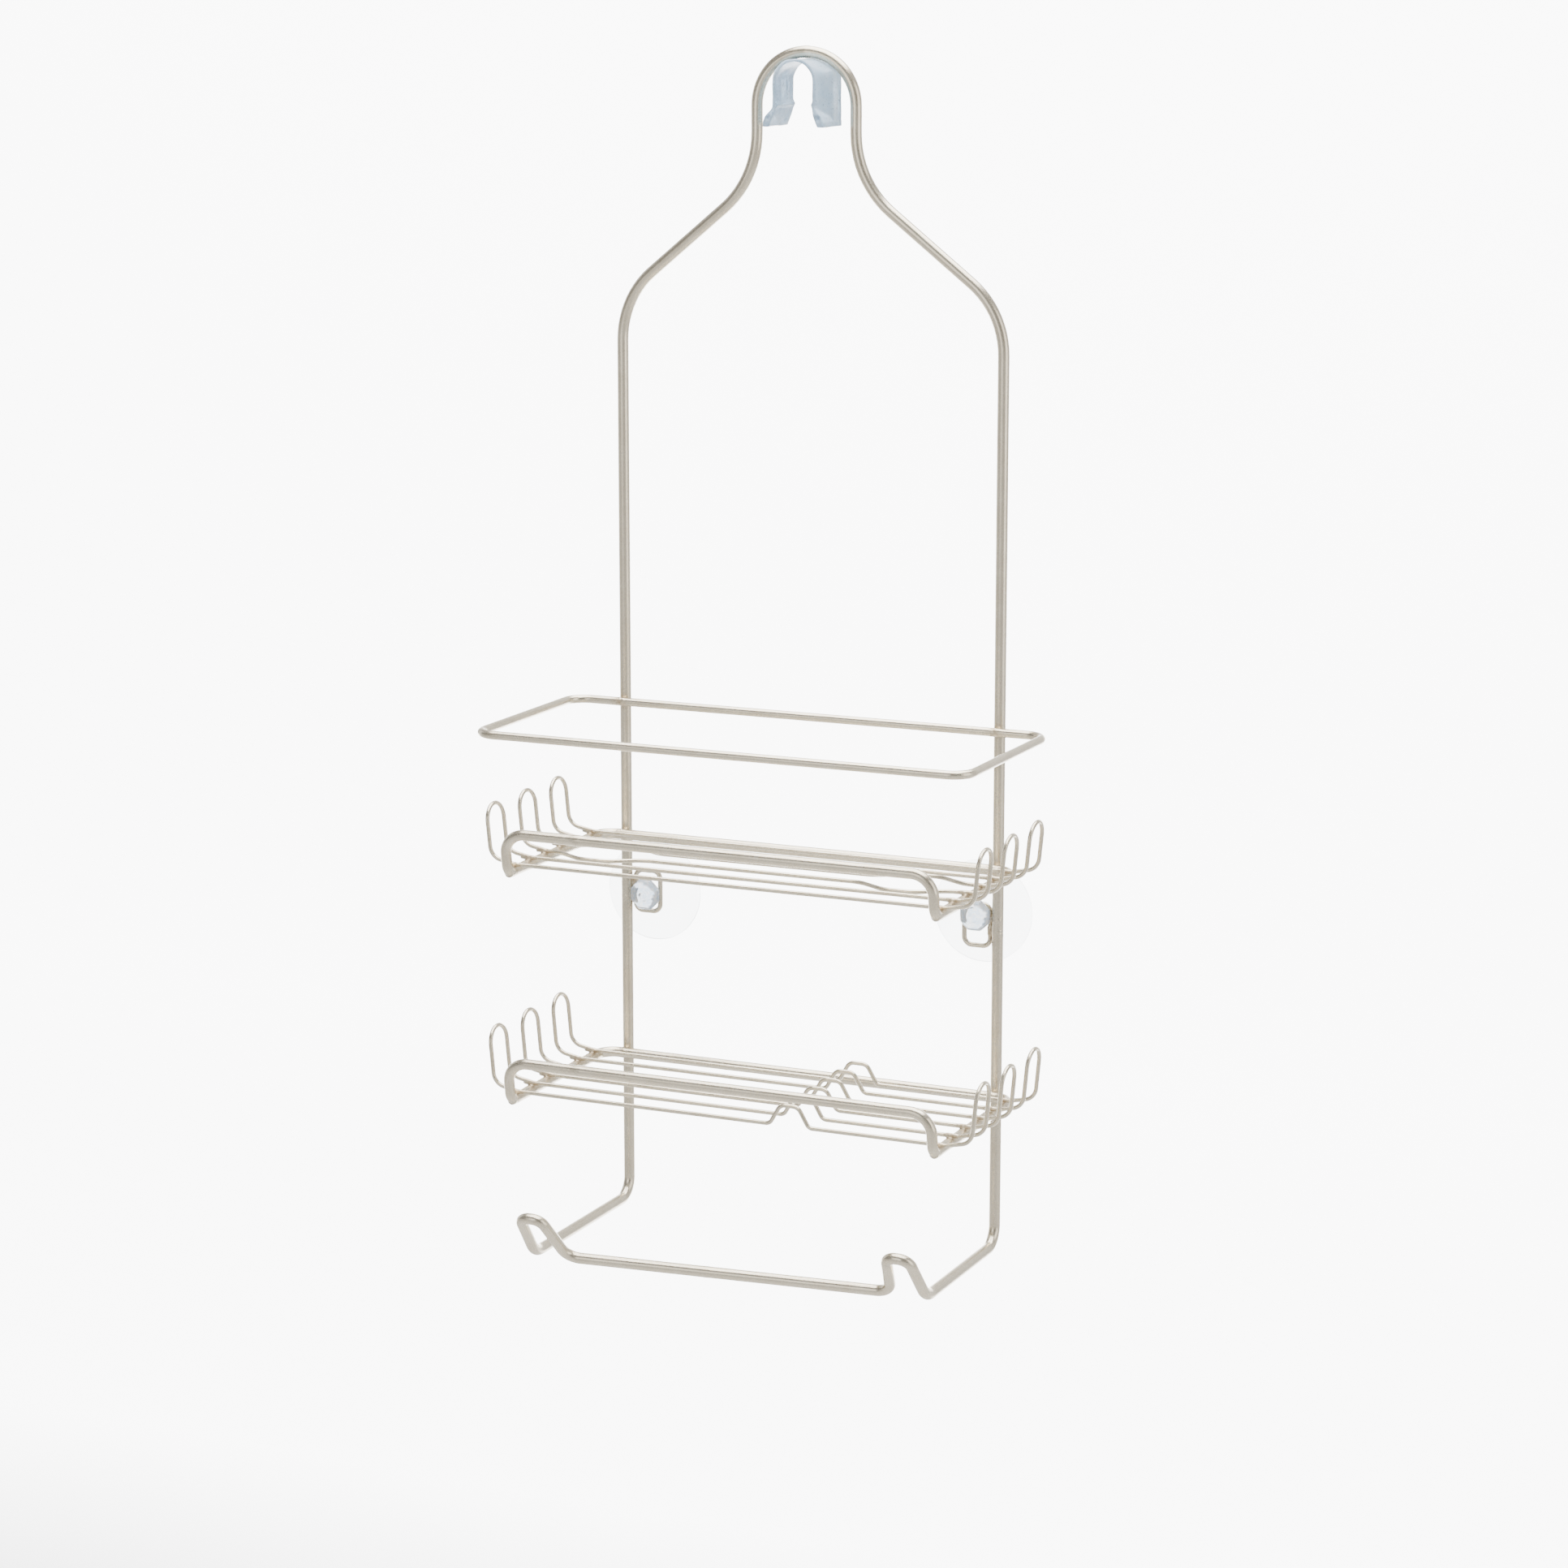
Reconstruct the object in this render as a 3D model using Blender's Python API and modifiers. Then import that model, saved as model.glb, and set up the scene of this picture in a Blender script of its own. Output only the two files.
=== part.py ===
"""A wire shower caddy that hangs on a shower arm.

Frame: +X to the right, -Y to the front, +Z up, in metres.
The origin is the top of the shower arm, in the plane of the two uprights.
Every wire is drawn as a bending plan: its corners in order, each with its bend radius.
"""

import math

import bmesh
import bpy
from mathutils import Vector

COLLECTION_NAME = "shower_caddy"

# ---- Wire stock ------------------------------------------------------------------------
FRAME_WIRE = 0.00635
SHELF_WIRE = 0.0060
RING_WIRE = 0.0048
FLOOR_WIRE = 0.0024
BRACKET_WIRE = 0.0028
GAP = 0.0003                       # clearance between two pieces that meet
WELD_LAND = 0.0020                 # straight wire on each side of a butt weld
BEND_STEP = math.radians(23.0)     # widest turn between two points of a bend
CHORD_ERROR = 0.00022              # and the most that their chord may cut inside the bend

# ---- Shower arm and the hook that hangs on it --------------------------------------------
ARM_RADIUS = 0.01065
HOOK_Y = -0.0045                   # the neck leans this far forward of the uprights
HOOK_TOP_Z = 0.0050                # wire centre over the arm
HOOK_HALF_WIDTH = 0.0293
NECK_CORNER_Z = -0.0637            # where the straight neck would meet the shoulder line
NECK_BEND = 0.0535
SHOULDER_CORNER_Z = -0.1313        # where the shoulder line would meet the upright
SHOULDER_BEND = 0.0490

# ---- Uprights, bottom arms and front rail ----------------------------------------------
UPRIGHT_X = 0.1140
BOTTOM_Z = -0.6523
BOTTOM_BEND = 0.0115
FRONT_RAIL_Y = -0.1100
FRONT_RAIL_SKEW = 0.0090           # left end this far forward of its middle, right end back
TONGUE_BASE_WIDTH = 0.0205         # between its two feet
TONGUE_TIP_WIDTH = 0.0130
TONGUE_REACH = 0.0210              # forward of the rail
TONGUE_RISE = 0.0265
TONGUE_SPLAY = 0.0020              # the tip leans this far outwards
TONGUE_FOOT_BEND = 0.0060

# ---- Guard ring ------------------------------------------------------------------------
RING_Z = -0.3593
RING_HALF_WIDTH = 0.1438
RING_FRONT_Y = -0.1253
RING_CORNER = 0.0115

# ---- Shelves ---------------------------------------------------------------------------
UPPER_SHELF_Z = -0.4362            # centre of the back and side rails
LOWER_SHELF_Z = -0.5652
SHELF_HALF_WIDTH = 0.1260
SHELF_FRONT_Y = -0.1223
SHELF_BACK_CORNER = 0.0100
RISER_FOOT_BEND = 0.0060
RISER_TOP_BEND = 0.0120
RISER_HEIGHT = 0.0230
RISER_LEAN = 0.0036                # the raised rail stands this far forward of its feet

# ---- Floor loops -----------------------------------------------------------------------
LOOP_NAMES = ("front", "middle", "rear")
LOOP_WIRE_SPACING = 0.0188
LOOP_PITCH = 0.0377
FIRST_WIRE_Y = SHELF_FRONT_Y + RISER_FOOT_BEND
FLOOR_LIFT = (SHELF_WIRE + FLOOR_WIRE) / 2 + GAP
HOOK_FOOT_X = 0.1425
HOOK_TOP_X = 0.1453
HOOK_FOOT_RISE = 0.0030
HOOK_FOOT_BEND = 0.0080
LOOP_SHIFT = 0.0031                # the loops are welded on this far right of the middle
UPPER_HOOK_HEIGHT = 0.0350         # hook top above the shelf's rails
LOWER_HOOK_HEIGHT = 0.0375

# Bottle holes: the middle loop's two wires part in these places on the upper shelf
BOTTLE_HOLE_X = 0.0910
BOTTLE_HOLE_HALF_LENGTH = 0.0260
BOTTLE_HOLE_HALF_FLAT = 0.0090
BOTTLE_HOLE_BULGE = 0.0105
BOTTLE_HOLE_BEND = 0.0200

# Soap divider: every wire of the lower shelf rises over one line
DIVIDER_X = 0.0400
DIVIDER_HALF_BASE = 0.0115
DIVIDER_HALF_TOP = 0.0052
DIVIDER_HEIGHT = 0.0110
DIVIDER_FOOT_BEND = 0.0040
DIVIDER_TOP_BEND = 0.0050

# ---- Suction cups and the slots they slide in ------------------------------------------
BRACKET_Z = -0.4697
BRACKET_X = 0.1014
BRACKET_Y = 0.0015
BRACKET_WIDTH = 0.0155
BRACKET_HEIGHT = 0.0236
BRACKET_CORNER = 0.0045
LEFT_CUP_REST = -0.0015            # cup above the middle of its slot
RIGHT_CUP_REST = 0.0060
CUP_RADIUS = 0.0290
CUP_WALL_Y = 0.0105                # plane of the wall that the rim presses on
CUP_STEM_RADIUS = 0.0038
CUP_HEAD_RADIUS = 0.0087
CUP_HEAD_DEPTH = 0.0062
CUP_RIM_WIDTH = 0.0014
CUP_STEPS = 32

# ---- Saddle ----------------------------------------------------------------------------
SADDLE_CHANNEL = ARM_RADIUS + 0.00015
SADDLE_FRONT_Y = -0.0215
SADDLE_BACK_Y = 0.0030
SADDLE_BLOCK_Y = -0.0085           # the section is a full block from here backwards
SADDLE_RIM = 0.0018
SADDLE_HALF_WIDTH = 0.0175
SADDLE_LEG_END_Z = -0.0345
SADDLE_FLARE_START_Z = -0.0230
SADDLE_TOE_SPREAD = 0.0035
SADDLE_TOE = 0.0034                # least thickness of a flared toe
SADDLE_SECTIONS = 8
SADDLE_ARC_STEPS = 8
SADDLE_LEG_STEPS = 6

# ---- Finishes: colour, roughness, metallic, alpha ---------------------------------------
SATIN_NICKEL = ((0.62, 0.58, 0.53), 0.34, 1.0, 1.0)
CLEAR_VINYL = ((0.86, 0.88, 0.88), 0.16, 0.0, 0.45)
FROSTED_VINYL = ((0.72, 0.78, 0.84), 0.38, 0.0, 0.7)


# ---- Scene helpers ---------------------------------------------------------------------
def clear_scene():
    for old in list(bpy.data.objects):
        bpy.data.objects.remove(old, do_unlink=True)


def new_collection(name):
    group = bpy.data.collections.new(name)
    bpy.context.scene.collection.children.link(group)
    return group


def finish_material(name, finish):
    colour, roughness, metallic, alpha = finish
    material = bpy.data.materials.new(name)
    material.use_nodes = True
    shader = material.node_tree.nodes["Principled BSDF"]
    shader.inputs["Base Color"].default_value = (*colour, 1.0)
    shader.inputs["Roughness"].default_value = roughness
    shader.inputs["Metallic"].default_value = metallic
    shader.inputs["Alpha"].default_value = alpha
    return material


def place(obj, group, parent, location, finish):
    obj.location = location
    obj.parent = parent
    obj.data.materials.append(finish_material(obj.name + "_finish", finish))
    group.objects.link(obj)
    return obj


# ---- Wire geometry ---------------------------------------------------------------------
def bend_arc(before, corner, after, radius):
    """Points of the arc that rounds a corner, from one tangent point to the other."""
    arrive = (corner - before).normalized()
    leave = (after - corner).normalized()
    turn = arrive.angle(leave)
    tangent = radius * math.tan(turn / 2)
    start = corner - arrive * tangent
    inward = (leave - arrive * arrive.dot(leave)).normalized()
    centre = start + inward * radius
    step = min(BEND_STEP, 2 * math.acos(1 - CHORD_ERROR / radius))
    steps = max(2, math.ceil(turn / step))
    points = []
    for index in range(steps + 1):
        angle = turn * index / steps
        points.append(centre - inward * radius * math.cos(angle) + arrive * radius * math.sin(angle))
    return points


def bent_path(corners, closed):
    """Turn corners, each (x, y, z, bend radius), into the points of a wire's centre line."""
    count = len(corners)
    places = [Vector(corner[:3]) for corner in corners]
    points = []
    for index, corner in enumerate(corners):
        is_end = not closed and index in (0, count - 1)
        radius = corner[3]
        if is_end or radius == 0:
            found = [places[index]]
        else:
            found = bend_arc(places[index - 1], places[index], places[(index + 1) % count], radius)
        for point in found:
            if not points or (point - points[-1]).length > 1e-5:
                points.append(point)
    if closed and (points[0] - points[-1]).length < 1e-5:
        points.pop()
    return points


def wire(name, corners, diameter, closed):
    curve = bpy.data.curves.new(name, "CURVE")
    curve.dimensions = "3D"
    curve.bevel_depth = diameter / 2
    curve.bevel_resolution = 2
    curve.use_fill_caps = True
    points = bent_path(corners, closed)
    spline = curve.splines.new("POLY")
    spline.points.add(len(points) - 1)
    for target, point in zip(spline.points, points):
        target.co = (*point, 1.0)
    spline.use_cyclic_u = closed
    spline.use_smooth = True
    return bpy.data.objects.new(name, curve)


# ---- Main frame: two bent wires, butt welded at the hook and at the front rail -----------
def frame_wire_corners(side):
    """One half of the main wire: hook, neck, shoulder, upright, arm, corner tongue and rail."""
    foot_y = FRONT_RAIL_Y + side * FRONT_RAIL_SKEW
    tip_y = foot_y - TONGUE_REACH
    tip_z = BOTTOM_Z + TONGUE_RISE
    foot_inner_x = UPRIGHT_X - TONGUE_BASE_WIDTH
    tongue_x = UPRIGHT_X - TONGUE_BASE_WIDTH / 2 + TONGUE_SPLAY
    tip_bend = TONGUE_TIP_WIDTH / 2 - GAP
    plan = [
        (GAP / 2, HOOK_Y, HOOK_TOP_Z, 0),
        (HOOK_HALF_WIDTH, HOOK_Y, HOOK_TOP_Z, HOOK_HALF_WIDTH - WELD_LAND),
        (HOOK_HALF_WIDTH, HOOK_Y, NECK_CORNER_Z, NECK_BEND),
        (UPRIGHT_X, 0, SHOULDER_CORNER_Z, SHOULDER_BEND),
        (UPRIGHT_X, 0, BOTTOM_Z, BOTTOM_BEND),
        (UPRIGHT_X, foot_y, BOTTOM_Z, TONGUE_FOOT_BEND),
        (tongue_x + TONGUE_TIP_WIDTH / 2, tip_y, tip_z, tip_bend),
        (tongue_x - TONGUE_TIP_WIDTH / 2, tip_y, tip_z, tip_bend),
        (foot_inner_x, foot_y, BOTTOM_Z, TONGUE_FOOT_BEND),
        (GAP / 2, FRONT_RAIL_Y, BOTTOM_Z, 0),
    ]
    return [(side * x, y, z, bend) for x, y, z, bend in plan]


# ---- Guard ring and shelf frames, all welded to the front of the uprights ----------------
def ring_corners():
    back_y = -(FRAME_WIRE + RING_WIRE) / 2 - GAP
    return [
        (-RING_HALF_WIDTH, RING_FRONT_Y, 0, RING_CORNER),
        (RING_HALF_WIDTH, RING_FRONT_Y, 0, RING_CORNER),
        (RING_HALF_WIDTH, back_y, 0, RING_CORNER),
        (-RING_HALF_WIDTH, back_y, 0, RING_CORNER),
    ]


def shelf_frame_corners():
    """Back and side rails lie flat; the front rail is carried up on two risers."""
    back_y = -(FRAME_WIRE + SHELF_WIRE) / 2 - GAP
    top_y = SHELF_FRONT_Y - RISER_LEAN
    side = SHELF_HALF_WIDTH
    return [
        (-side, back_y, 0, SHELF_BACK_CORNER),
        (-side, SHELF_FRONT_Y, 0, RISER_FOOT_BEND),
        (-side, top_y, RISER_HEIGHT, RISER_TOP_BEND),
        (side, top_y, RISER_HEIGHT, RISER_TOP_BEND),
        (side, SHELF_FRONT_Y, 0, RISER_FOOT_BEND),
        (side, back_y, 0, SHELF_BACK_CORNER),
    ]


# ---- Floor loops: two floor wires joined at both ends by an upturned hook ------------------
def bottle_hole_bends(y, outward):
    """The bends, left to right, where a floor wire steps aside for a bottle's neck."""
    bends = []
    for side in (-1, 1):
        hole_x = side * BOTTLE_HOLE_X - LOOP_SHIFT
        aside = y + outward * BOTTLE_HOLE_BULGE
        bends.append((hole_x - BOTTLE_HOLE_HALF_LENGTH, y, 0, BOTTLE_HOLE_BEND))
        bends.append((hole_x - BOTTLE_HOLE_HALF_FLAT, aside, 0, BOTTLE_HOLE_BEND))
        bends.append((hole_x + BOTTLE_HOLE_HALF_FLAT, aside, 0, BOTTLE_HOLE_BEND))
        bends.append((hole_x + BOTTLE_HOLE_HALF_LENGTH, y, 0, BOTTLE_HOLE_BEND))
    return bends


def divider_bends(y):
    """The bends, left to right, where a floor wire humps up to part the soap from the rest."""
    middle_x = DIVIDER_X - LOOP_SHIFT
    return [
        (middle_x - DIVIDER_HALF_BASE, y, 0, DIVIDER_FOOT_BEND),
        (middle_x - DIVIDER_HALF_TOP, y, DIVIDER_HEIGHT, DIVIDER_TOP_BEND),
        (middle_x + DIVIDER_HALF_TOP, y, DIVIDER_HEIGHT, DIVIDER_TOP_BEND),
        (middle_x + DIVIDER_HALF_BASE, y, 0, DIVIDER_FOOT_BEND),
    ]


def floor_loop_corners(hook_height, front_bends, rear_bends):
    """A closed loop about its own middle line, at the height of its floor wires."""
    half = LOOP_WIRE_SPACING / 2
    hook_bend = half - GAP / 2
    top_z = hook_height - FLOOR_LIFT
    rail_x = SHELF_HALF_WIDTH + 0.0015
    right_hook = [
        (rail_x, -half, 0, HOOK_FOOT_BEND),
        (HOOK_FOOT_X, -half, HOOK_FOOT_RISE, HOOK_FOOT_BEND),
        (HOOK_TOP_X, -half, top_z, hook_bend),
        (HOOK_TOP_X, half, top_z, hook_bend),
        (HOOK_FOOT_X, half, HOOK_FOOT_RISE, HOOK_FOOT_BEND),
        (rail_x, half, 0, HOOK_FOOT_BEND),
    ]
    left_hook = [(-x, -y, z, bend) for x, y, z, bend in right_hook]
    return [*front_bends, *right_hook, *reversed(rear_bends), *left_hook]


def upper_loop_corners(name):
    half = LOOP_WIRE_SPACING / 2
    if name != "middle":
        return floor_loop_corners(UPPER_HOOK_HEIGHT, [], [])
    front_bends = bottle_hole_bends(-half, -1)
    rear_bends = bottle_hole_bends(half, 1)
    return floor_loop_corners(UPPER_HOOK_HEIGHT, front_bends, rear_bends)


def lower_loop_corners(name):
    half = LOOP_WIRE_SPACING / 2
    return floor_loop_corners(LOWER_HOOK_HEIGHT, divider_bends(-half), divider_bends(half))


# ---- Slotted brackets and suction cups ---------------------------------------------------
def bracket_corners():
    half_width = BRACKET_WIDTH / 2
    half_height = BRACKET_HEIGHT / 2
    signs = ((-1, -1), (1, -1), (1, 1), (-1, 1))
    return [(x * half_width, 0, z * half_height, BRACKET_CORNER) for x, z in signs]


def cup_profile():
    """Half section, radius and height, with the head on top and the wall rim at the bottom.

    Height is measured from the bracket's plane, towards the user.
    """
    clear = BRACKET_WIRE / 2 + GAP
    head_top = clear + CUP_HEAD_DEPTH
    rim_z = BRACKET_Y - CUP_WALL_Y
    profile = [
        (0, head_top),
        (CUP_HEAD_RADIUS * 0.55, head_top),
        (CUP_HEAD_RADIUS * 0.86, head_top - 0.0010),
        (CUP_HEAD_RADIUS, head_top - 0.0030),
        (CUP_HEAD_RADIUS, clear + 0.0008),
        (CUP_HEAD_RADIUS - 0.0008, clear),
        (CUP_STEM_RADIUS, clear),
        (CUP_STEM_RADIUS, -clear),
        (CUP_HEAD_RADIUS - 0.0009, -clear),
    ]
    # the bell sweeps from the hub to the rim, steeper towards its edge
    hub_radius = CUP_HEAD_RADIUS
    hub_z = -clear - 0.0006
    steps = 6
    for index in range(steps + 1):
        ratio = index / steps
        radius = hub_radius + (CUP_RADIUS - hub_radius) * ratio
        height = hub_z + (rim_z + 0.0006 - hub_z) * (0.62 * ratio + 0.38 * ratio ** 3)
        profile.append((radius, height))
    profile.append((CUP_RADIUS, rim_z))
    inner_radius = CUP_RADIUS - CUP_RIM_WIDTH
    profile.append((inner_radius, rim_z))
    # the hollow under the bell
    crown_z = -clear - 0.0030
    for index in range(1, steps):
        ratio = index / steps
        radius = inner_radius * (1 - ratio)
        profile.append((radius, rim_z + (crown_z - rim_z) * math.sin(math.pi / 2 * ratio)))
    profile.append((0, crown_z))
    return profile


def turned(name, profile, steps):
    """Turn a half section about the object's Z axis."""
    mesh = bpy.data.meshes.new(name)
    shape = bmesh.new()
    previous = None
    for radius, height in profile:
        point = shape.verts.new((radius, 0, height))
        if previous:
            shape.edges.new((previous, point))
        previous = point
    shape.to_mesh(mesh)
    shape.free()
    obj = bpy.data.objects.new(name, mesh)
    screw = obj.modifiers.new("turn", "SCREW")
    screw.steps = steps
    screw.render_steps = steps
    screw.use_merge_vertices = True
    screw.merge_threshold = 0.00001
    screw.use_smooth_shade = True
    return obj


# ---- Saddle ------------------------------------------------------------------------------
def saddle_block_reach(place_x, place_z, aim_x, aim_z):
    """How far the full block reaches from a point of the channel, along an outward line."""
    wall = SADDLE_HALF_WIDTH - place_x
    reach = wall / aim_x if aim_x > 0.05 else 1.0
    arch_radius = HOOK_HALF_WIDTH - FRAME_WIRE / 2 - GAP
    rise = place_z - (HOOK_TOP_Z - HOOK_HALF_WIDTH)
    along = place_x * aim_x + rise * aim_z
    beyond = place_x ** 2 + rise ** 2 - arch_radius ** 2
    arch = -along + math.sqrt(max(along ** 2 - beyond, 0))
    return min(reach, arch)


def saddle_half_section(fullness):
    """Pairs of inner and outer points (x, z) from the crown down to one toe.

    Fullness runs from 0, the thin front rim, to 1, the full block around the wire.
    """
    pairs = []
    centre_z = -ARM_RADIUS
    for index in range(SADDLE_ARC_STEPS + 1):
        angle = math.radians(90 * (1 - index / SADDLE_ARC_STEPS))
        aim_x = math.cos(angle)
        aim_z = math.sin(angle)
        x = SADDLE_CHANNEL * aim_x
        z = centre_z + SADDLE_CHANNEL * aim_z
        block = saddle_block_reach(x, z, aim_x, aim_z)
        rim = min(SADDLE_RIM, block)
        reach = rim + (block - rim) * fullness
        pairs.append(((x, z), (x + reach * aim_x, z + reach * aim_z)))
    for index in range(1, SADDLE_LEG_STEPS + 1):
        z = centre_z + (SADDLE_LEG_END_Z - centre_z) * index / SADDLE_LEG_STEPS
        flare_length = SADDLE_FLARE_START_Z - SADDLE_LEG_END_Z
        flare = max(0, SADDLE_FLARE_START_Z - z) / flare_length
        x = SADDLE_CHANNEL + SADDLE_TOE_SPREAD * flare ** 2
        block = SADDLE_HALF_WIDTH - SADDLE_CHANNEL
        outer = SADDLE_CHANNEL + SADDLE_RIM + (block - SADDLE_RIM) * fullness
        outer = max(outer, x + SADDLE_RIM + (SADDLE_TOE - SADDLE_RIM) * flare)
        pairs.append(((x, z), (outer, z)))
    return pairs


def saddle_section(y):
    span = SADDLE_BLOCK_Y - SADDLE_FRONT_Y
    ratio = min(1, max(0, (y - SADDLE_FRONT_Y) / span))
    half = saddle_half_section(ratio ** 1.3)
    mirrored = [((-inner[0], inner[1]), (-outer[0], outer[1])) for inner, outer in half[1:]]
    return [*reversed(mirrored), *half]


def saddle(name):
    """A loft of U sections along the arm: every section has the same stations."""
    mesh = bpy.data.meshes.new(name)
    shape = bmesh.new()
    layers = []
    for index in range(SADDLE_SECTIONS + 1):
        y = SADDLE_FRONT_Y + (SADDLE_BACK_Y - SADDLE_FRONT_Y) * index / SADDLE_SECTIONS
        inner = []
        outer = []
        for inner_place, outer_place in saddle_section(y):
            inner.append(shape.verts.new((inner_place[0], y, inner_place[1])))
            outer.append(shape.verts.new((outer_place[0], y, outer_place[1])))
        layers.append([*inner, *reversed(outer)])
    ring_size = len(layers[0])
    for near, far in zip(layers, layers[1:]):
        for index in range(ring_size):
            following = (index + 1) % ring_size
            shape.faces.new((near[index], near[following], far[following], far[index]))
    stations = ring_size // 2
    for layer, flip in ((layers[0], False), (layers[-1], True)):
        for index in range(stations - 1):
            quad = [layer[index], layer[-1 - index], layer[-2 - index], layer[index + 1]]
            shape.faces.new(reversed(quad) if flip else quad)
    bmesh.ops.recalc_face_normals(shape, faces=shape.faces)
    for face in shape.faces:
        face.smooth = True
    shape.to_mesh(mesh)
    shape.free()
    mesh.set_sharp_from_angle(angle=math.radians(40))
    return bpy.data.objects.new(name, mesh)


# ---- Assembly ----------------------------------------------------------------------------
def build_frame(group, origin):
    for label, side in (("left", -1), ("right", 1)):
        half = wire(f"frame_wire_{label}", frame_wire_corners(side), FRAME_WIRE, False)
        place(half, group, origin, (0, 0, 0), SATIN_NICKEL)
    ring = wire("guard_ring", ring_corners(), RING_WIRE, True)
    place(ring, group, origin, (0, 0, RING_Z), SATIN_NICKEL)


def build_shelf(group, origin, label, shelf_z, loop_corners):
    frame = wire(f"{label}_shelf_frame", shelf_frame_corners(), SHELF_WIRE, True)
    place(frame, group, origin, (0, 0, shelf_z), SATIN_NICKEL)
    for index, loop_name in enumerate(LOOP_NAMES):
        loop = wire(f"{label}_floor_loop_{loop_name}", loop_corners(loop_name), FLOOR_WIRE, True)
        middle_y = FIRST_WIRE_Y + LOOP_WIRE_SPACING / 2 + LOOP_PITCH * index
        place(loop, group, origin, (LOOP_SHIFT, middle_y, shelf_z + FLOOR_LIFT), SATIN_NICKEL)


def build_cups(group, origin):
    for label, side, rest in (("left", -1, LEFT_CUP_REST), ("right", 1, RIGHT_CUP_REST)):
        bracket = wire(f"{label}_cup_bracket", bracket_corners(), BRACKET_WIRE, True)
        place(bracket, group, origin, (side * BRACKET_X, BRACKET_Y, BRACKET_Z), SATIN_NICKEL)
        cup = turned(f"{label}_suction_cup", cup_profile(), CUP_STEPS)
        cup_place = (side * BRACKET_X, BRACKET_Y, BRACKET_Z + rest)
        place(cup, group, origin, cup_place, CLEAR_VINYL)
        cup.rotation_euler = (math.radians(90), 0, 0)


def build():
    clear_scene()
    group = new_collection(COLLECTION_NAME)
    origin = bpy.data.objects.new("caddy_origin", None)
    group.objects.link(origin)
    build_frame(group, origin)
    build_shelf(group, origin, "upper", UPPER_SHELF_Z, upper_loop_corners)
    build_shelf(group, origin, "lower", LOWER_SHELF_Z, lower_loop_corners)
    build_cups(group, origin)
    place(saddle("arm_saddle"), group, origin, (0, 0, 0), FROSTED_VINYL)


build()
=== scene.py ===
import math

import bmesh
import bpy
import numpy as np
from mathutils import Matrix, Vector, noise


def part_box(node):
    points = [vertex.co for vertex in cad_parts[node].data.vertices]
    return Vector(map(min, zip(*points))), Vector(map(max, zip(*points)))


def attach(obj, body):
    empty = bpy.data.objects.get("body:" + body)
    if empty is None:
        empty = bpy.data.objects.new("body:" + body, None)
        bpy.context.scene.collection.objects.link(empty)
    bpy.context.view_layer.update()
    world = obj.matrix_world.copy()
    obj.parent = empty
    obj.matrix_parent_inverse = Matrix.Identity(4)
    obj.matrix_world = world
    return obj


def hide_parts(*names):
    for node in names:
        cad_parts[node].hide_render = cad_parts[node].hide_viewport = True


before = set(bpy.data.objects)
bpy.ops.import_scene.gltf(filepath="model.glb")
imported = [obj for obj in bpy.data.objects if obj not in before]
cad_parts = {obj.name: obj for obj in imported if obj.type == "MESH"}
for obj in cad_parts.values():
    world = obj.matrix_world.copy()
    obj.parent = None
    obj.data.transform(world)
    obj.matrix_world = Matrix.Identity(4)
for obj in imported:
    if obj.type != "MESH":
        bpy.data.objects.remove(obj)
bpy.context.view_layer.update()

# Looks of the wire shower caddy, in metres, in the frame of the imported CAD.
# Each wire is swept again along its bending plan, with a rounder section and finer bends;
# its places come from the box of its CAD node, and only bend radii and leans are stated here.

# ---- Wire stock ------------------------------------------------------------------------
FRAME_WIRE = 0.00635
SHELF_WIRE = 0.0060
RING_WIRE = 0.0048
FLOOR_WIRE = 0.0024
BRACKET_WIRE = 0.0028
WELD_SINK = 0.0007                 # how far a floor wire sits lower than in the CAD, in its weld

# ---- Bends that a box doesn't give -------------------------------------------------------
HOOK_Y = -0.0045
HOOK_HALF_WIDTH = 0.0293
NECK_CORNER_Z = -0.0637
NECK_BEND = 0.0535
SHOULDER_CORNER_Z = -0.1313
SHOULDER_BEND = 0.0490
BOTTOM_BEND = 0.0115
TONGUE_BASE_WIDTH = 0.0205
TONGUE_TIP_WIDTH = 0.0130
TONGUE_REACH = 0.0210
TONGUE_RISE = 0.0265
TONGUE_SPLAY = 0.0020
TONGUE_INNER_FOOT_BEND = 0.0095
TONGUE_OUTER_FOOT_BEND = 0.0150
RING_CORNER = 0.0115
SHELF_BACK_CORNER = 0.0100
RISER_FOOT_BEND = 0.0060
RISER_TOP_BEND = 0.0120
RISER_LEAN = 0.0036
HOOK_FOOT_IN = 0.0028              # hook foot, inwards from the hook's top
HOOK_FOOT_RISE = 0.0030
HOOK_FOOT_BEND = 0.0080
HOOK_FOOT_START = 0.1275           # where a floor wire starts to rise, from the loop's middle
LOOP_WIRE_SPACING = 0.0188
BOTTLE_HOLE_X = 0.0910
BOTTLE_HOLE_HALF_LENGTH = 0.0260
BOTTLE_HOLE_HALF_FLAT = 0.0090
BOTTLE_HOLE_BULGE = 0.0105
BOTTLE_HOLE_BEND = 0.0200
DIVIDER_X = 0.0400
DIVIDER_HALF_BASE = 0.0115
DIVIDER_HALF_TOP = 0.0052
DIVIDER_HEIGHT = 0.0110
DIVIDER_FOOT_BEND = 0.0040
DIVIDER_TOP_BEND = 0.0050
BRACKET_CORNER = 0.0045
BEND_SLACK = 0.0002                # a U bend stays this much under half its width
HOOK_BEND_SLACK = 0.0005
SEAM_X = -0.0125                   # butt weld of the main wire, in the bottom rail
RAIL_SEAM_IN = 0.0450              # butt weld of a front rail, from its left end
STAIN_REACH = 0.0046
SCUFF_REACH = 0.0034

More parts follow.
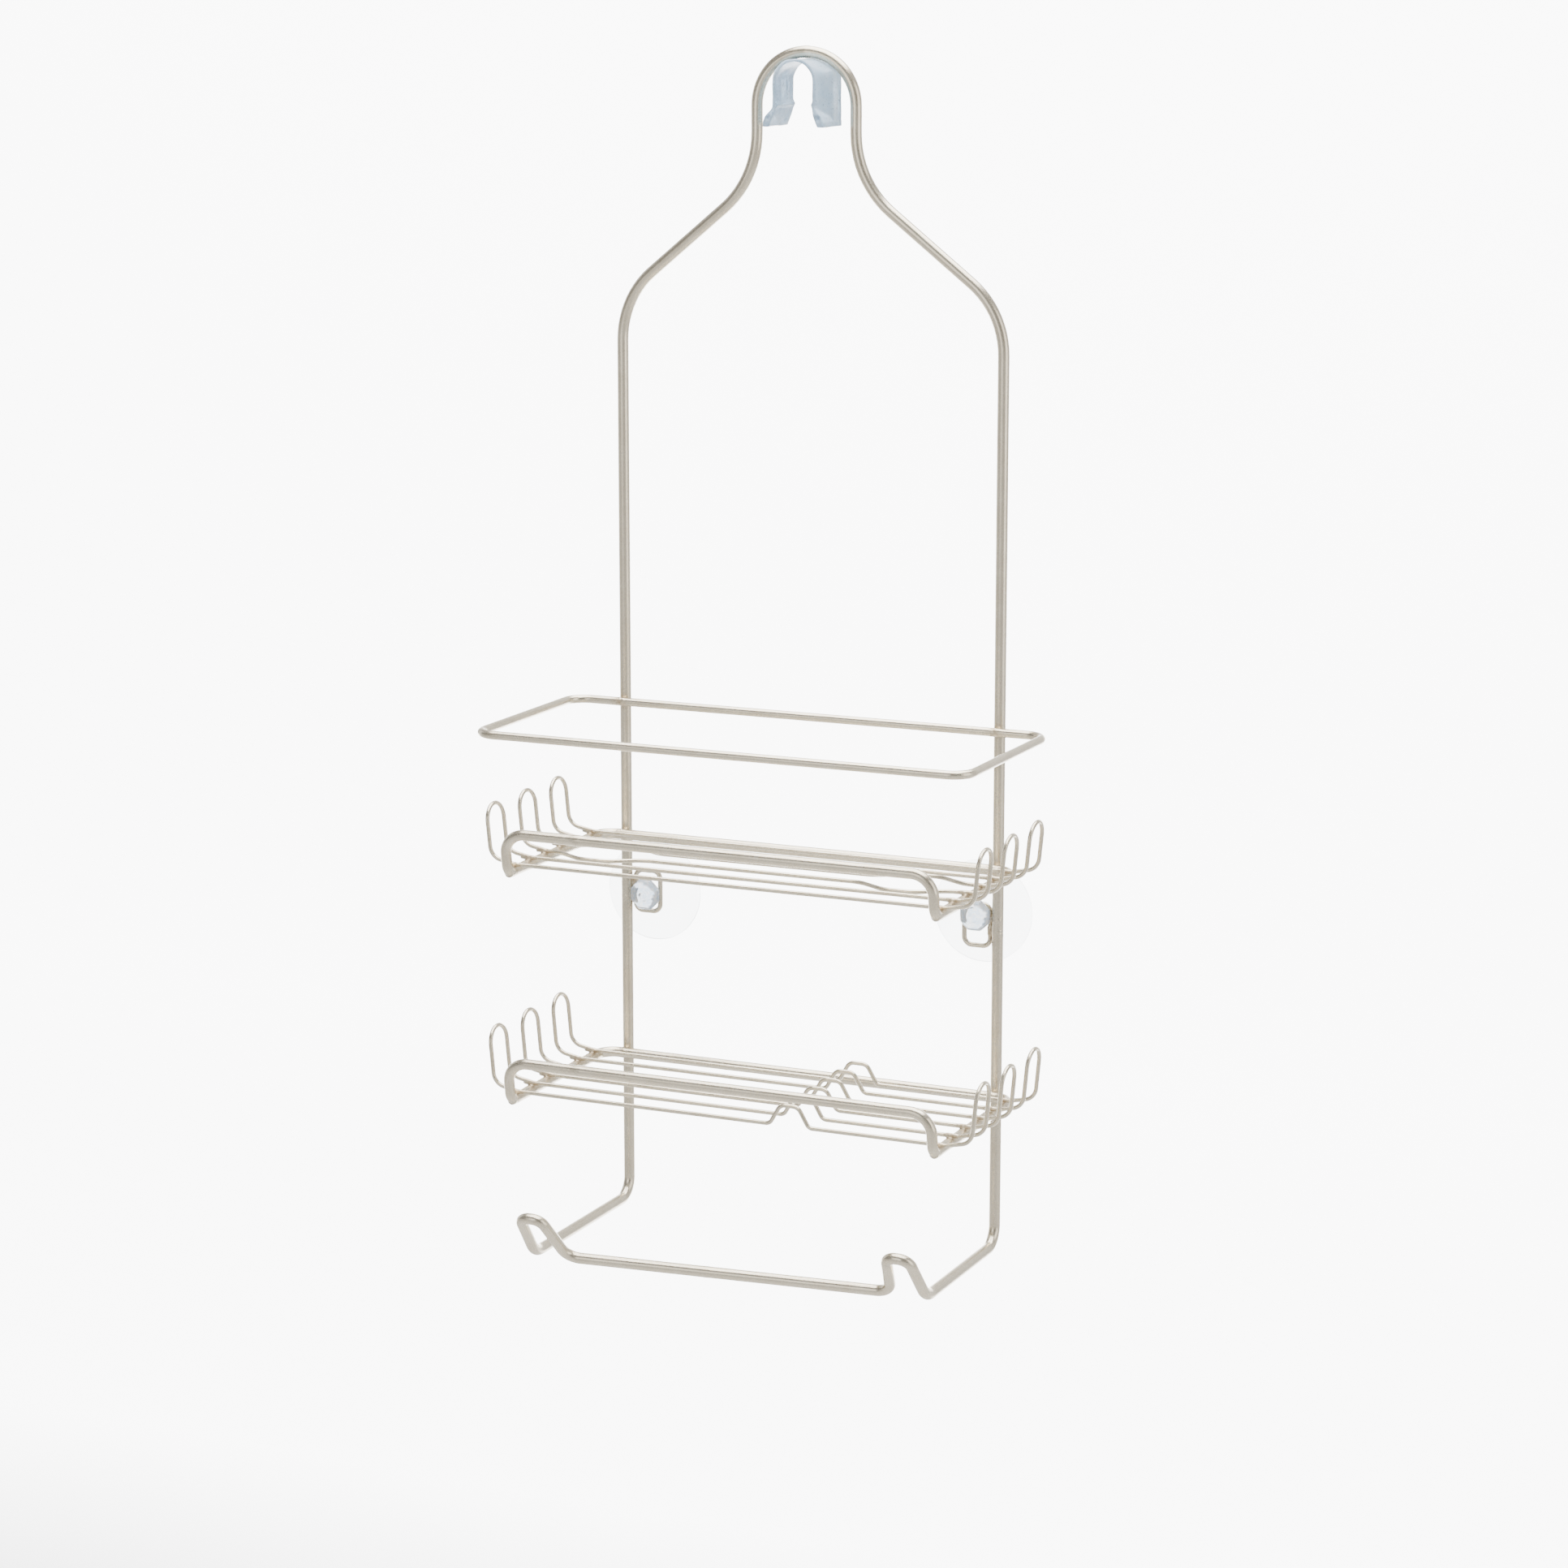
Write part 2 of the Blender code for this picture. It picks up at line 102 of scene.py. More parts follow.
# ---- Sweep quality -----------------------------------------------------------------------
SAME_POINT = 0.00001               # points nearer to each other than this are one
BEND_STEP = math.radians(5.0)
STRAIGHT_STEP = 0.0025
WIRE_SIDES = 20
THIN_SIDES = 14

ROOT = "caddy"
LOOP_NAMES = ("front", "middle", "rear")
SHELVES = ("upper", "lower")
SIDES = ("left", "right")


# ---- Wire centre lines -------------------------------------------------------------------
def wire_box(node, diameter):
    """The lowest and highest corner of a wire's centre line."""
    low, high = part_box(node)
    inset = Vector((diameter, diameter, diameter)) / 2
    return low + inset, high - inset


def bend_arc(before, corner, after, radius):
    """Points along the arc that rounds off a corner."""
    arrive = (corner - before).normalized()
    leave = (after - corner).normalized()
    turn = arrive.angle(leave)
    start = corner - arrive * radius * math.tan(turn / 2)
    inward = (leave - arrive * arrive.dot(leave)).normalized()
    centre = start + inward * radius
    steps = max(2, math.ceil(turn / BEND_STEP))
    angles = [turn * index / steps for index in range(steps + 1)]
    return [centre - inward * radius * math.cos(a) + arrive * radius * math.sin(a) for a in angles]


def bent_path(corners, closed):
    """Turn corners, each (x, y, z, bend radius), into close points along a wire."""
    count = len(corners)
    places = [Vector(corner[:3]) for corner in corners]
    rough = []
    for index, corner in enumerate(corners):
        is_end = not closed and index in (0, count - 1)
        if is_end or corner[3] == 0:
            rough.append(places[index])
        else:
            following = places[(index + 1) % count]
            rough.extend(bend_arc(places[index - 1], places[index], following, corner[3]))
    if closed:
        rough.append(rough[0])
    points = [rough[0]]
    for point in rough[1:]:
        gap = point - points[-1]
        if gap.length < SAME_POINT:
            continue
        pieces = max(1, round(gap.length / STRAIGHT_STEP))
        start = points[-1]
        points.extend(start + gap * (index + 1) / pieces for index in range(pieces))
    if closed:
        points.pop()
    return points


def frame_route():
    """The whole main wire, a closed loop from the hook's apex down the right side and back."""
    sides = []
    for label, side in (("right", 1), ("left", -1)):
        low, high = wire_box(f"frame_wire_{label}", FRAME_WIRE)
        upright_x = high.x if side > 0 else -low.x
        foot_y = low.y + TONGUE_REACH
        tip_z = low.z + TONGUE_RISE
        inner_x = upright_x - TONGUE_BASE_WIDTH
        tongue_x = upright_x - TONGUE_BASE_WIDTH / 2 + TONGUE_SPLAY
        half_tip = TONGUE_TIP_WIDTH / 2
        plan = [
            (HOOK_HALF_WIDTH, HOOK_Y, high.z, HOOK_HALF_WIDTH - HOOK_BEND_SLACK),
            (HOOK_HALF_WIDTH, HOOK_Y, NECK_CORNER_Z, NECK_BEND),
            (upright_x, 0, SHOULDER_CORNER_Z, SHOULDER_BEND),
            (upright_x, 0, low.z, BOTTOM_BEND),
            (upright_x, foot_y, low.z, TONGUE_OUTER_FOOT_BEND),
            (tongue_x + half_tip, low.y, tip_z, half_tip - BEND_SLACK),
            (tongue_x - half_tip, low.y, tip_z, half_tip - BEND_SLACK),
            (inner_x, foot_y, low.z, TONGUE_INNER_FOOT_BEND),
        ]
        sides.append([(side * x, y, z, bend) for x, y, z, bend in plan])
    right, left = sides
    return [*right, *reversed(left)]


def ring_route():
    """The guard ring, a flat rectangle."""
    low, high = wire_box("guard_ring", RING_WIRE)
    z = (low.z + high.z) / 2
    outline = ((low.x, low.y), (high.x, low.y), (high.x, high.y), (low.x, high.y))
    return [(x, y, z, RING_CORNER) for x, y in outline]


def shelf_route(label):
    """A shelf's rail: flat at the back and sides, then up two risers to the front."""
    low, high = wire_box(f"{label}_shelf_frame", SHELF_WIRE)
    foot_y = low.y + RISER_LEAN
    return [
        (low.x, high.y, low.z, SHELF_BACK_CORNER),
        (low.x, foot_y, low.z, RISER_FOOT_BEND),
        (low.x, low.y, high.z, RISER_TOP_BEND),
        (high.x, low.y, high.z, RISER_TOP_BEND),
        (high.x, foot_y, low.z, RISER_FOOT_BEND),
        (high.x, high.y, low.z, SHELF_BACK_CORNER),
    ]


def bottle_hole_bends(y, z, outward):
    """Where a floor wire steps aside, twice, to leave round holes for upturned bottles."""
    bends = []
    for hole_x in (-BOTTLE_HOLE_X, BOTTLE_HOLE_X):
        aside = y + outward * BOTTLE_HOLE_BULGE
        bends.append((hole_x - BOTTLE_HOLE_HALF_LENGTH, y, z, BOTTLE_HOLE_BEND))
        bends.append((hole_x - BOTTLE_HOLE_HALF_FLAT, aside, z, BOTTLE_HOLE_BEND))
        bends.append((hole_x + BOTTLE_HOLE_HALF_FLAT, aside, z, BOTTLE_HOLE_BEND))
        bends.append((hole_x + BOTTLE_HOLE_HALF_LENGTH, y, z, BOTTLE_HOLE_BEND))
    return bends


def divider_bends(y, z):
    """The hump of a floor wire that parts the soap from the rest of the lower shelf."""
    top = z + DIVIDER_HEIGHT
    return [
        (DIVIDER_X - DIVIDER_HALF_BASE, y, z, DIVIDER_FOOT_BEND),
        (DIVIDER_X - DIVIDER_HALF_TOP, y, top, DIVIDER_TOP_BEND),
        (DIVIDER_X + DIVIDER_HALF_TOP, y, top, DIVIDER_TOP_BEND),
        (DIVIDER_X + DIVIDER_HALF_BASE, y, z, DIVIDER_FOOT_BEND),
    ]


def loop_route(label, loop_name):
    """Two floor wires in one: a closed loop that turns up into a hook at each side."""
    low, high = wire_box(f"{label}_floor_loop_{loop_name}", FLOOR_WIRE)
    middle_y = (low.y + high.y) / 2
    shift = (low.x + high.x) / 2
    half = LOOP_WIRE_SPACING / 2
    front, rear = middle_y - half, middle_y + half
    floor_z = low.z - WELD_SINK
    top_z = high.z
    bend = half - BEND_SLACK

    def hook(hook_x, outward):
        foot_x = hook_x - outward * HOOK_FOOT_IN
        start_x = shift + outward * HOOK_FOOT_START
        foot_z = floor_z + HOOK_FOOT_RISE
        return [
            (start_x, front, floor_z, HOOK_FOOT_BEND),
            (foot_x, front, foot_z, HOOK_FOOT_BEND),
            (hook_x, front, top_z, bend),
            (hook_x, rear, top_z, bend),
            (foot_x, rear, foot_z, HOOK_FOOT_BEND),
            (start_x, rear, floor_z, HOOK_FOOT_BEND),
        ]

    if label == "lower":
        front_bends = divider_bends(front, floor_z)
        rear_bends = divider_bends(rear, floor_z)
    elif loop_name == "middle":
        front_bends = bottle_hole_bends(front, floor_z, -1)
        rear_bends = bottle_hole_bends(rear, floor_z, 1)
    else:
        front_bends = []
        rear_bends = []
    right_hook = hook(high.x, 1)
    left_hook = hook(low.x, -1)
    return [*front_bends, *right_hook, *reversed(rear_bends), *reversed(left_hook)]


def bracket_route(label):
    """The upright loop whose slot guides a cup."""
    low, high = wire_box(f"{label}_cup_bracket", BRACKET_WIRE)
    y = (low.y + high.y) / 2
    outline = ((low.x, low.z), (high.x, low.z), (high.x, high.z), (low.x, high.z))
    return [(x, y, z, BRACKET_CORNER) for x, z in outline]


# ---- Welds: places where wires meet --------------------------------------------------------
BRACKET_WELD_RISE = 2.0            # the lower one, above the bracket's foot, in corner radii
BRACKET_WELD_DROP = 1.6            # the upper one, below the bracket's top, in corner radii
TIP_SCUFF_IN = 0.002               # rubbed spots, how far behind the front of their wire
RISER_SCUFF_IN = 0.004
UPRIGHT_SCUFF_Y = -0.001
RIGHT_TIP = 6                      # places in the main wire's route
RIGHT_INNER_FOOT = 7
LEFT_INNER_FOOT = 8


def crossing_welds(label):
    """Where the floor wires of a shelf lie on its two side rails."""
    rail_low, rail_high = wire_box(f"{label}_shelf_frame", SHELF_WIRE)
    half = LOOP_WIRE_SPACING / 2
    found = []
    for loop_name in LOOP_NAMES:
        low, high = wire_box(f"{label}_floor_loop_{loop_name}", FLOOR_WIRE)
        middle_y = (low.y + high.y) / 2
        for y in (middle_y - half, middle_y + half):
            for x in (rail_low.x, rail_high.x):
                found.append(Vector((x, y, low.z - WELD_SINK)))
    return found


def upright_welds():
    """(place, diameter) where a back rail lies across an upright."""
    found = []
    frame_high = wire_box("frame_wire_right", FRAME_WIRE)[1]
    rails = [("guard_ring", RING_WIRE)]
    rails += [(f"{label}_shelf_frame", SHELF_WIRE) for label in SHELVES]
    for node, diameter in rails:
        low, high = wire_box(node, diameter)
        z = (low.z + high.z) / 2 if node == "guard_ring" else low.z
        for side in (-1, 1):
            found.append((Vector((side * frame_high.x, high.y, z)), diameter))
    return found


def bracket_welds():
    """(place on the bracket's outer leg, place on the upright beside it), two for each bracket."""
    found = []
    upright_x = wire_box("frame_wire_right", FRAME_WIRE)[1].x
    for label, side in (("left", -1), ("right", 1)):
        low, high = wire_box(f"{label}_cup_bracket", BRACKET_WIRE)
        leg_x = high.x if side > 0 else low.x
        y = (low.y + high.y) / 2
        lower = low.z + BRACKET_WELD_RISE * BRACKET_CORNER
        upper = high.z - BRACKET_WELD_DROP * BRACKET_CORNER
        for z in (lower, upper):
            found.append((Vector((leg_x, y, z)), Vector((side * upright_x, 0, z))))
    return found


def rail_seam_place(label):
    """Where the front rail's ends are butt welded."""
    low, high = wire_box(f"{label}_shelf_frame", SHELF_WIRE)
    return Vector((low.x + RAIL_SEAM_IN, low.y, high.z))


def scuff_places():
    """Rubbed spots: tongue tips, risers' feet, rail seams and the uprights by the cups."""
    found = []
    tip_x, _, tip_z, _ = frame_route()[RIGHT_TIP]
    for label, side in (("right", 1), ("left", -1)):
        low, _ = wire_box(f"frame_wire_{label}", FRAME_WIRE)
        found.append(Vector((side * tip_x, low.y + TIP_SCUFF_IN, tip_z - FRAME_WIRE / 2)))
    for label in SHELVES:
        low, high = wire_box(f"{label}_shelf_frame", SHELF_WIRE)
        found.append(rail_seam_place(label))
        for x in (low.x, high.x):
            found.append(Vector((x, low.y + RISER_SCUFF_IN, low.z - SHELF_WIRE / 2)))
    for label, side in (("right", 1), ("left", -1)):
        low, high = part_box(f"{label}_cup_bracket")
        upright_x = side * wire_box("frame_wire_right", FRAME_WIRE)[1].x
        for z in (low.z + BRACKET_CORNER, high.z - BRACKET_CORNER):
            found.append(Vector((upright_x - side * FRAME_WIRE / 2, UPRIGHT_SCUFF_Y, z)))
    return found


# ---- Tubes -------------------------------------------------------------------------------
def sweep_frames(points, closed):
    """A normal for each point that never twists; on a closed path the last turn is spread out."""
    count = len(points)
    tangents = []
    for index in range(count):
        before = points[index - 1] if closed or index else points[0]
        after = points[(index + 1) % count] if closed or index < count - 1 else points[-1]
        tangents.append((after - before).normalized())
    side = Vector((0, 0, 1)) if abs(tangents[0].z) < 0.9 else Vector((1, 0, 0))
    normal = (side - tangents[0] * side.dot(tangents[0])).normalized()
    normals = [normal]
    for before, after in zip(tangents, tangents[1:]):
        normal = before.rotation_difference(after) @ normal
        normal = (normal - after * normal.dot(after)).normalized()
        normals.append(normal)
    if closed:
        last = tangents[-1].rotation_difference(tangents[0]) @ normal
        cross = tangents[0].dot(last.cross(normals[0]))
        twist = math.atan2(cross, last.dot(normals[0]))
        normals = [
            Matrix.Rotation(twist * index / count, 3, tangents[index]) @ normal
            for index, normal in enumerate(normals)
        ]
    return tangents, normals


def tube(name, points, diameter, closed, sides, bulges=()):
    """A round wire as a mesh. UV is (length, girth) in metres; bulges are (place, reach, swell)."""
    tangents, normals = sweep_frames(points, closed)
    lengths = [0.0]
    for before, after in zip(points, points[1:]):
        lengths.append(lengths[-1] + (after - before).length)
    total = lengths[-1] + ((points[0] - points[-1]).length if closed else 0)
    shape = bmesh.new()
    uv = shape.loops.layers.uv.new("wire")
    rings = []
    for point, tangent, normal in zip(points, tangents, normals):
        radius = diameter / 2
        for place, reach, swell in bulges:
            away = (point - place).length / reach
            radius += swell * math.exp(-away * away)
        binormal = tangent.cross(normal)
        ring = []
        for side in range(sides):
            angle = 2 * math.pi * side / sides
            offset = normal * math.cos(angle) + binormal * math.sin(angle)
            ring.append(shape.verts.new(point + offset * radius))
        rings.append(ring)
    girth = math.pi * diameter
    spans = list(range(len(rings) - 1))
    if closed:
        spans.append(len(rings) - 1)
    for index in spans:
        near = rings[index]
        far = rings[(index + 1) % len(rings)]
        u0 = lengths[index]
        u1 = lengths[index + 1] if index + 1 < len(lengths) else total
        for side in range(sides):
            following = (side + 1) % sides
            face = shape.faces.new((near[side], near[following], far[following], far[side]))
            v0 = girth * side / sides
            v1 = girth * (side + 1) / sides
            for corner, place in zip(face.loops, ((u0, v0), (u0, v1), (u1, v1), (u1, v0))):
                corner[uv].uv = place
            face.smooth = True
    if not closed:
        for ring in (rings[0], rings[-1]):
            shape.faces.new(ring)
    bmesh.ops.recalc_face_normals(shape, faces=shape.faces)
    return finish_mesh(name, shape)


def finish_mesh(name, shape):
    """A new object from a bmesh, which is used up."""
    mesh = bpy.data.meshes.new(name)
    shape.to_mesh(mesh)
    shape.free()
    obj = bpy.data.objects.new(name, mesh)
    bpy.context.scene.collection.objects.link(obj)
    return obj


def paint_marks(obj, places, reach, layer):
    """A number per vertex, 1 at each place and 0 beyond its reach, for the material to read."""
    mesh = obj.data
    coords = np.zeros(len(mesh.vertices) * 3)
    mesh.vertices.foreach_get("co", coords)
    coords = coords.reshape(-1, 3)
    marks = np.zeros(len(coords))
    for place in places:
        away = np.linalg.norm(coords - np.array(place), axis=1) / reach
        marks = np.maximum(marks, np.exp(-away ** 2))
    attribute = mesh.attributes.new(layer, "FLOAT", "POINT")
    attribute.data.foreach_set("value", marks.astype(np.float32))


# ---- Weld beads: short tapered stubs fused and smoothed, so that a fillet forms between them ----
X_AXIS = Vector((1, 0, 0))
Y_AXIS = Vector((0, 1, 0))
Z_AXIS = Vector((0, 0, 1))

STUB_SIDES = 16
STUB_STEPS = 12
STUB_TAPER = 0.00022
# of each stub, half its length and how much fatter than its wire it is
SIDE_RAIL_STUB = (0.0052, 0.00008)
FLOOR_WIRE_STUB = (0.0050, 0.00022)
UPRIGHT_STUB = (0.0058, 0.00006)
BACK_RAIL_STUB = (0.0058, 0.00010)
BRACKET_STUB = (0.0042, 0.00035)
BRACKET_UPRIGHT_STUB = (0.0046, 0.00006)
# of each kind of bead, its voxel and its rounds of smoothing
FLOOR_FUSE = (0.00028, 5)
UPRIGHT_FUSE = (0.00034, 6)
BRACKET_FUSE = (0.00030, 5)
LUMP_SCALE = 700
LUMP_SEED_X = 3.1
LUMP_SEED_Y = 1.7
# of each kind of bead, the height of its lumps and its first seed
FLOOR_LUMPS = 0.00016
UPRIGHT_LUMPS = 0.00014
BRACKET_LUMPS = 0.00016
FLOOR_SEED = 100
UPRIGHT_SEED = 40
BRACKET_SEED = 60
# of each butt weld, its reach along the wire and its swell
APEX_SEAM = (0.0016, 0.00022)
BOTTOM_SEAM = (0.0014, 0.00024)
RAIL_SEAM = (0.0013, 0.00020)


def spindle(shape, axis, across, centre, diameter, half_length, swell):
    """A stub around a wire: a little fatter than the wire at its middle, thinner at its ends."""
    third = axis.cross(across)
    rings = []
    for index in range(STUB_STEPS + 1):
        along = -1 + 2 * index / STUB_STEPS
        radius = diameter / 2 + swell * math.cos(along * math.pi / 2) - STUB_TAPER * along ** 2
        place = centre + axis * along * half_length
        rings.append([
            shape.verts.new(
                place + radius * (across * math.cos(turn) + third * math.sin(turn))
            )
            for turn in (2 * math.pi * side / STUB_SIDES for side in range(STUB_SIDES))
        ])
    for near, far in zip(rings, rings[1:]):
        for side in range(STUB_SIDES):
            following = (side + 1) % STUB_SIDES
            shape.faces.new((near[side], near[following], far[following], far[side]))
    shape.faces.new(reversed(rings[0]))
    shape.faces.new(rings[-1])


def fused(obj, voxel, smooth_rounds):
    """The object's solids as one soft skin; the object itself is thrown away."""
    remesh = obj.modifiers.new("fuse", "REMESH")
    remesh.mode = "VOXEL"
    remesh.voxel_size = voxel
    soften = obj.modifiers.new("soften", "SMOOTH")
    soften.factor = 0.5
    soften.iterations = smooth_rounds
    graph = bpy.context.evaluated_depsgraph_get()
    mesh = bpy.data.meshes.new_from_object(obj.evaluated_get(graph))
    bpy.data.objects.remove(obj)
    return mesh


def fused_bead(name, stubs, voxel, smooth_rounds):
    """stubs are (axis, across, centre, diameter, half length, swell)."""
    shape = bmesh.new()
    for stub in stubs:
        spindle(shape, *stub)
    bmesh.ops.recalc_face_normals(shape, faces=shape.faces)
    return fused(finish_mesh(name, shape), voxel, smooth_rounds)


def add_copy(shape, mesh, place, turn, lump_height, seed):
    """Adds a turned copy of a bead to a piece, each with its own small lumps."""
    before = len(shape.verts)
    shape.from_mesh(mesh)
    shape.verts.ensure_lookup_table()
    shape.normal_update()
    for vertex in shape.verts[before:]:
        aside = Vector((seed * LUMP_SEED_X, seed * LUMP_SEED_Y, 0))
        lump = noise.noise(vertex.co * LUMP_SCALE + aside)
        vertex.co += vertex.normal * lump * lump_height
        vertex.co = turn @ vertex.co + place


def floor_weld_piece(label, seed):
    """The beads that hold a shelf's floor wires to its two side rails."""
    rail_z = wire_box(f"{label}_shelf_frame", SHELF_WIRE)[0].z
    places = crossing_welds(label)
    drop = places[0].z - rail_z
    stubs = [
        (Y_AXIS, X_AXIS, Vector((0, 0, -drop)), SHELF_WIRE, *SIDE_RAIL_STUB),
        (X_AXIS, Y_AXIS, Vector((0, 0, 0)), FLOOR_WIRE, *FLOOR_WIRE_STUB),
    ]
    bead = fused_bead(f"{label}_bead", stubs, *FLOOR_FUSE)
    shape = bmesh.new()
    for index, place in enumerate(places):
        turn = Matrix.Rotation(math.pi * (index % 2), 3, "Z")
        add_copy(shape, bead, place, turn, FLOOR_LUMPS, seed + index)
    for face in shape.faces:
        face.smooth = True
    return finish_mesh(f"{label}_floor_welds", shape), places


def upright_weld_piece():
    """The beads on the uprights, at the ring, the shelf rails and the brackets."""
    shape = bmesh.new()
    spots = upright_welds()
    for index, (place, diameter) in enumerate(spots):
        stubs = [
            (Z_AXIS, X_AXIS, Vector((0, -place.y, 0)), FRAME_WIRE, *UPRIGHT_STUB),
            (X_AXIS, Y_AXIS, Vector((0, 0, 0)), diameter, *BACK_RAIL_STUB),
        ]
        bead = fused_bead("upright_bead", stubs, *UPRIGHT_FUSE)
        add_copy(shape, bead, place, Matrix.Identity(3), UPRIGHT_LUMPS, UPRIGHT_SEED + index)
    places = [place for place, _ in spots]
    for place, upright in bracket_welds():
        stubs = [
            (Z_AXIS, X_AXIS, Vector((0, 0, 0)), BRACKET_WIRE, *BRACKET_STUB),
            (Z_AXIS, X_AXIS, upright - place, FRAME_WIRE, *BRACKET_UPRIGHT_STUB),
        ]
        bead = fused_bead("bracket_bead", stubs, *BRACKET_FUSE)
        seed = BRACKET_SEED + len(places)
        add_copy(shape, bead, place, Matrix.Identity(3), BRACKET_LUMPS, seed)
        places.append(place)
    for face in shape.faces:
        face.smooth = True
    return finish_mesh("upright_welds", shape), places


# ---- Materials ---------------------------------------------------------------------------
class Nodes:
    """Short names for wiring a material's nodes."""

    def __init__(self, name):
        self.material = bpy.data.materials.new(name)
        self.material.use_nodes = True
        self.tree = self.material.node_tree
        self.shader = self.tree.nodes["Principled BSDF"]
        self.place = self.add("ShaderNodeTexCoord").outputs["Object"]

    def add(self, kind, **settings):
        node = self.tree.nodes.new(kind)
        for key, value in settings.items():
            setattr(node, key, value)
        return node

    def join(self, source, target):
        self.tree.links.new(source, target)

    def noise(self, scale, detail, roughness=0.5, vector=None):
        node = self.add("ShaderNodeTexNoise")
        node.inputs["Scale"].default_value = scale
        node.inputs["Detail"].default_value = detail
        node.inputs["Roughness"].default_value = roughness
        self.join(vector or self.place, node.inputs["Vector"])
        return node.outputs["Fac"]

    def ramp(self, source, low, high, out_low=0.0, out_high=1.0):
        """A straight rise from one pair of values to another, flat beyond them."""
        node = self.add("ShaderNodeMapRange")
        node.clamp = True
        self.join(source, node.inputs["Value"])
        limits = {"From Min": low, "From Max": high, "To Min": out_low, "To Max": out_high}
        for key, value in limits.items():
            node.inputs[key].default_value = value
        return node.outputs["Result"]

    def maths(self, operation, first, second):
        node = self.add("ShaderNodeMath", operation=operation)
        for slot, value in enumerate((first, second)):
            if isinstance(value, (int, float)):
                node.inputs[slot].default_value = value
            else:
                self.join(value, node.inputs[slot])
        return node.outputs["Value"]

    def mix(self, amount, first, second):
        node = self.add("ShaderNodeMix", data_type="RGBA")
        self.join(amount, node.inputs["Factor"])
        for key, value in (("A", first), ("B", second)):
            socket = [s for s in node.inputs if s.name == key and s.type == "RGBA"][0]
            if isinstance(value, tuple):
                socket.default_value = (*value, 1.0)
            else:
                self.join(value, socket)
        return [s for s in node.outputs if s.type == "RGBA"][0]

    def mark(self, layer):
        """The marks that paint_marks left on a mesh."""
        return self.add("ShaderNodeAttribute", attribute_name=layer).outputs["Fac"]

    def bump(self, height, distance, strength=1.0):
        node = self.add("ShaderNodeBump")
        node.inputs["Distance"].default_value = distance
        node.inputs["Strength"].default_value = strength
        self.join(height, node.inputs["Height"])
        self.join(node.outputs["Normal"], self.shader.inputs["Normal"])

    def set(self, **values):
        for key, value in values.items():
            self.shader.inputs[key.replace("_", " ")].default_value = value


GRAIN_SCALE = 2600                 # noise scales, in waves per metre
PIT_SCALE = 1700
CLOUD_SCALE = 95
STREAK_STRETCH = (60, 2600, 1)     # along the wire and around it
CHAMPAGNE = (0.80, 0.72, 0.565)
CHAMPAGNE_DEEP = (0.70, 0.615, 0.465)
PIT_BROWN = (0.44, 0.34, 0.23)
HEAT_TAN = (0.36, 0.255, 0.145)
SCUFF_GREY = (0.20, 0.175, 0.165)
BELL_DIM = (0.79, 0.805, 0.815)
BELL_CLEAR = (0.86, 0.87, 0.875)
KNOB_BLUE = (0.70, 0.84, 1.0)
KNOB_CLEAR = (0.99, 0.995, 1.0)
FROST_DEEP = (0.50, 0.68, 0.84)
FROST_PALE = (0.70, 0.84, 0.97)


def satin_nickel():
    """Satin nickel over drawn wire: a fine grain, faint lengthwise streaks, heat stain by welds."""
    n = Nodes("satin_nickel_wire")
    grain = n.noise(GRAIN_SCALE, 2.0)
    cloud = n.noise(CLOUD_SCALE, 3.0)
    streak_map = n.add("ShaderNodeMapping")
    n.join(n.add("ShaderNodeTexCoord").outputs["UV"], streak_map.inputs["Vector"])
    streak_map.inputs["Scale"].default_value = STREAK_STRETCH
    streak = n.noise(1.0, 3.0, 0.55, streak_map.outputs["Vector"])
    tint = n.maths("ADD", n.maths("MULTIPLY", cloud, 0.5), n.maths("MULTIPLY", grain, 0.5))
    colour = n.mix(n.ramp(tint, 0.36, 0.62), CHAMPAGNE_DEEP, CHAMPAGNE)
    pits = n.ramp(n.noise(PIT_SCALE, 2.0), 0.56, 0.68, 0.0, 0.30)
    colour = n.mix(pits, colour, PIT_BROWN)
    stain_edge = n.ramp(n.noise(620, 3.0), 0.25, 0.7)
    stain = n.maths("MULTIPLY", n.ramp(n.mark("weld"), 0.12, 0.85), stain_edge)
    colour = n.mix(n.maths("MULTIPLY", stain, 0.85), colour, HEAT_TAN)
    scuff_spots = n.ramp(n.noise(1300, 2.0), 0.52, 0.60)
    scuff = n.maths("MULTIPLY", n.ramp(n.mark("scuff"), 0.2, 0.8), scuff_spots)
    colour = n.mix(n.maths("MULTIPLY", scuff, 0.85), colour, SCUFF_GREY)
    n.join(colour, n.shader.inputs["Base Color"])
    base = n.ramp(n.maths("ADD", grain, streak), 0.7, 1.3, 0.20, 0.32)
    rough = n.maths("ADD", base, n.maths("MULTIPLY", stain, 0.18))
    n.join(rough, n.shader.inputs["Roughness"])
    height = n.maths("ADD", n.maths("MULTIPLY", grain, 0.7), n.maths("MULTIPLY", streak, 0.3))
    n.bump(height, 0.00005, 0.4)
    n.set(Metallic=0.95, Coat_Weight=0.10, Coat_Roughness=0.15)
    return n.material


def clear_vinyl():
    """The clear thin bell of a cup: almost nothing but its rim and a faint haze."""
    n = Nodes("clear_cup_vinyl")
    haze = n.noise(140, 3.0)
    n.join(n.mix(haze, BELL_DIM, BELL_CLEAR), n.shader.inputs["Base Color"])
    n.join(n.ramp(haze, 0.3, 0.7, 0.02, 0.07), n.shader.inputs["Roughness"])
    n.bump(n.noise(260, 2.0), 0.0002, 0.2)
    n.set(Transmission_Weight=1.0, IOR=1.22)
    return n.material


